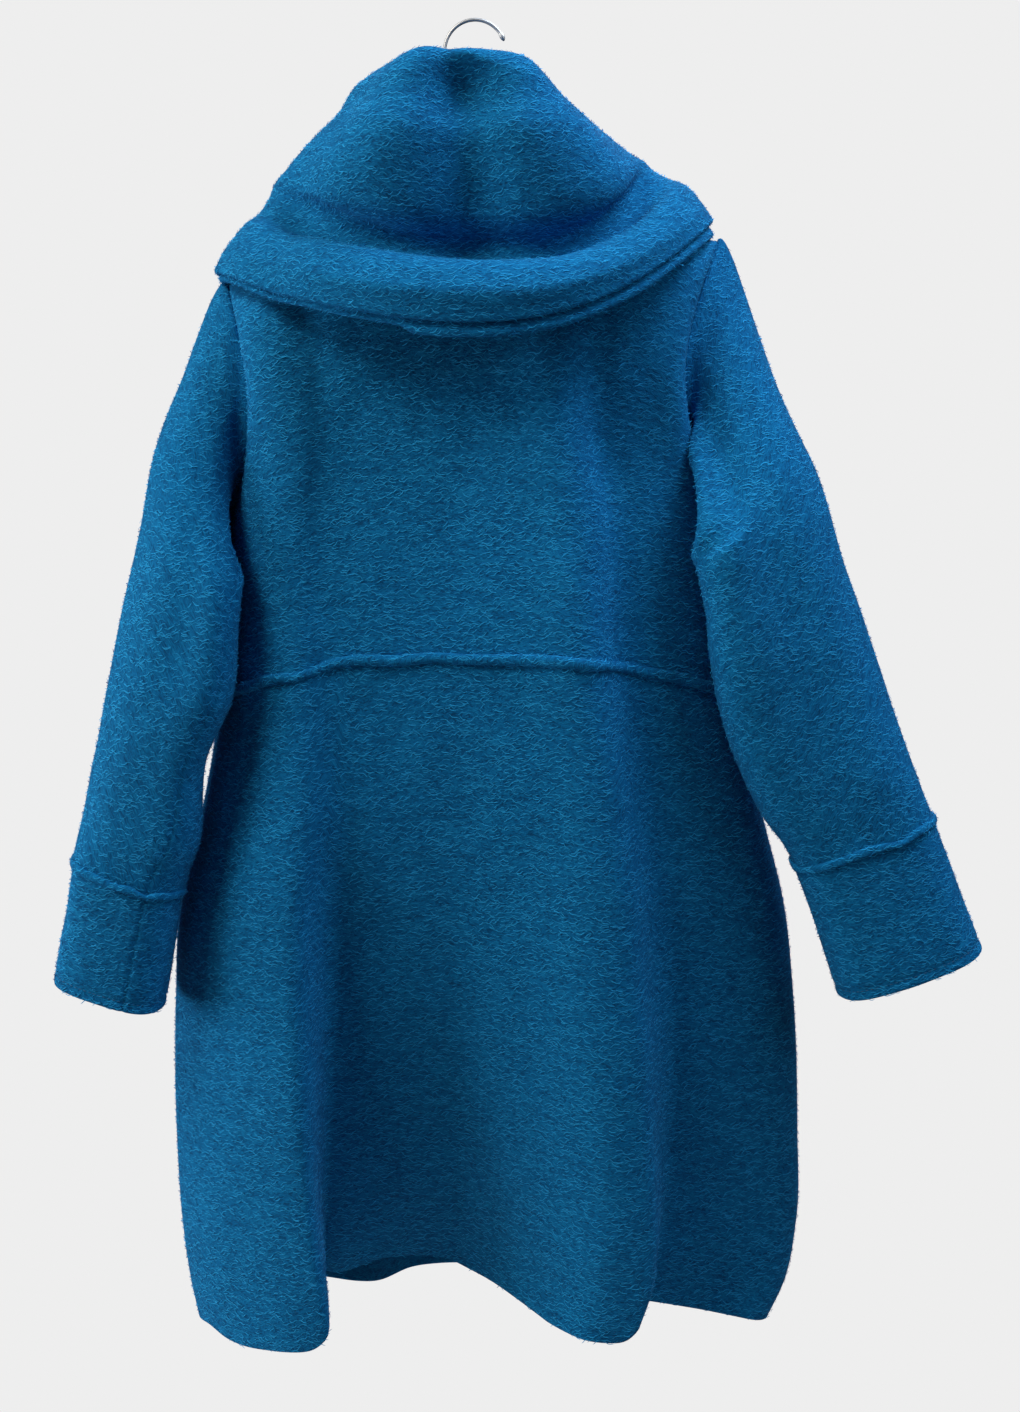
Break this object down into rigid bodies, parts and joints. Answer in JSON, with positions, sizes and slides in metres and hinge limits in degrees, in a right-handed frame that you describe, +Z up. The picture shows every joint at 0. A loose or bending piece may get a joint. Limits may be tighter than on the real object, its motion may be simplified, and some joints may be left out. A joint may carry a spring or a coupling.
{
  "type": "hooded coat on a hanger",
  "caption": "Knee-length felted wool coat on a hanger, its hood folded down as a deep cowl over a flared back with a raised waist seam and turned sleeve cuffs.",
  "frame": {"origin": "inside of the top of the hanger's hook, where a rail or peg carries it", "axes": "+X towards the wearer's right, +Y towards the wearer's front, +Z up; the back of the coat faces -Y"},
  "size_m": [0.784, 0.2994, 1.1433],
  "materials": {
    "boiled_wool": "felted wool with a short curly nap, petrol blue",
    "hook_steel": "thin dark steel wire",
    "hanger_bar": "plain dark bar, hidden under the shoulders"
  },
  "bodies": {
    "root": {"back_upper": "boiled_wool", "back_lower": "boiled_wool", "waist_welt_back": "boiled_wool", "front_upper_left": "boiled_wool", "front_lower_left": "boiled_wool", "waist_welt_left": "boiled_wool", "front_upper_right": "boiled_wool", "front_lower_right": "boiled_wool", "waist_welt_right": "boiled_wool", "sleeve_left": "boiled_wool", "cuff_left": "boiled_wool", "cuff_welt_left": "boiled_wool", "sleeve_right": "boiled_wool", "cuff_right": "boiled_wool", "cuff_welt_right": "boiled_wool", "hood_outer": "boiled_wool", "hood_under": "boiled_wool", "hanger_hook": "hook_steel", "hanger_arms": "hanger_bar"}
  },
  "joints": []
}
